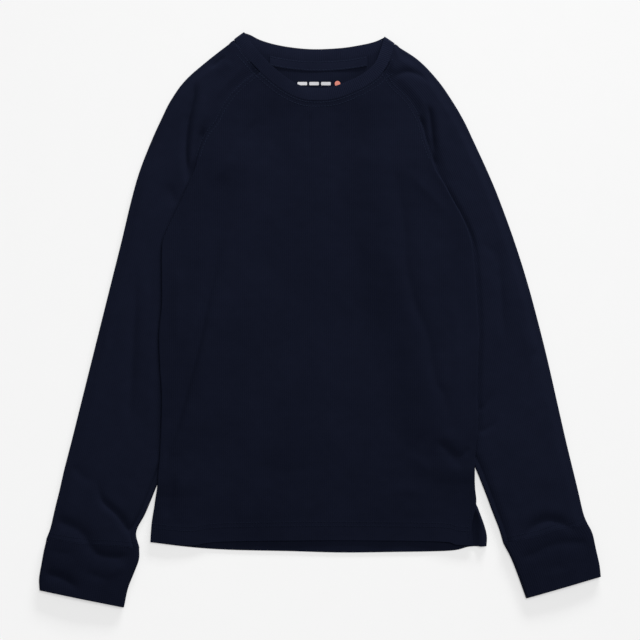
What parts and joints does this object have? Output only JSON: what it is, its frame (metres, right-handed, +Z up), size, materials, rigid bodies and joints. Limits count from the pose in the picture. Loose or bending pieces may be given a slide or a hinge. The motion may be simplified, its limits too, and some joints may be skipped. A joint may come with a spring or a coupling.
{
  "type": "thermal top",
  "caption": "Child's long-sleeved raglan thermal top with a ribbed crew neckband and cuffs, laid flat with its sleeves tucked under the body.",
  "frame": {"origin": "middle of the top's outline, on the surface it lies on", "axes": "+Z up from the surface, out of the front of the top; +Y from hem to neck; X across the chest"},
  "size_m": [0.6186, 0.6294, 0.0097],
  "materials": {
    "knit": "fine rib knit of navy cotton, matt with a little nap",
    "rib": "two-ply rib knit of navy cotton, matt",
    "tape": "navy twill neck tape, matt"
  },
  "bodies": {
    "root": {"front_panel": "knit", "back_panel": "knit", "sleeve_left": "knit", "sleeve_right": "knit", "cuff_left": "rib", "cuff_right": "rib", "neckband": "rib", "neck_tape": "tape"}
  },
  "joints": []
}
